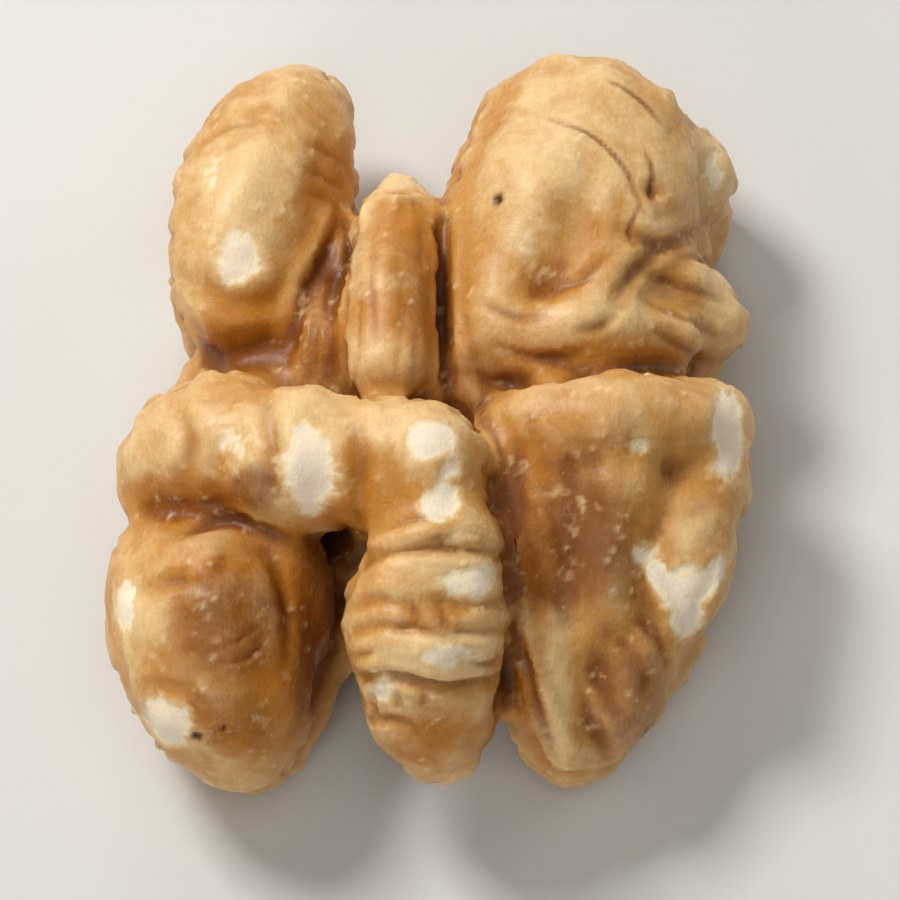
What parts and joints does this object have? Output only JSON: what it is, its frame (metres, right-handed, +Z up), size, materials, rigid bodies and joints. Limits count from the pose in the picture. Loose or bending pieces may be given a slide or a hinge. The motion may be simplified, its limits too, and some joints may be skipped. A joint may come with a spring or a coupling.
{
  "type": "walnut half kernel",
  "caption": "Shelled half kernel of a cracked walnut: a long germ fold between two thick, deeply folded lobes, lying on its hollowed inner face.",
  "frame": {"origin": "under the middle of the kernel, on the plane that it rests on", "axes": "+Z up out of the folded outer face, +Y along the kernel towards the germ tip, +X towards the right lobe seen from above"},
  "size_m": [0.0275, 0.033, 0.0145],
  "materials": {
    "kernel_skin": "golden tan seed skin, paler on the rubbed crests and brown in the creases, waxy and half matt"
  },
  "bodies": {
    "root": {"kernel_half": "kernel_skin"}
  },
  "joints": []
}
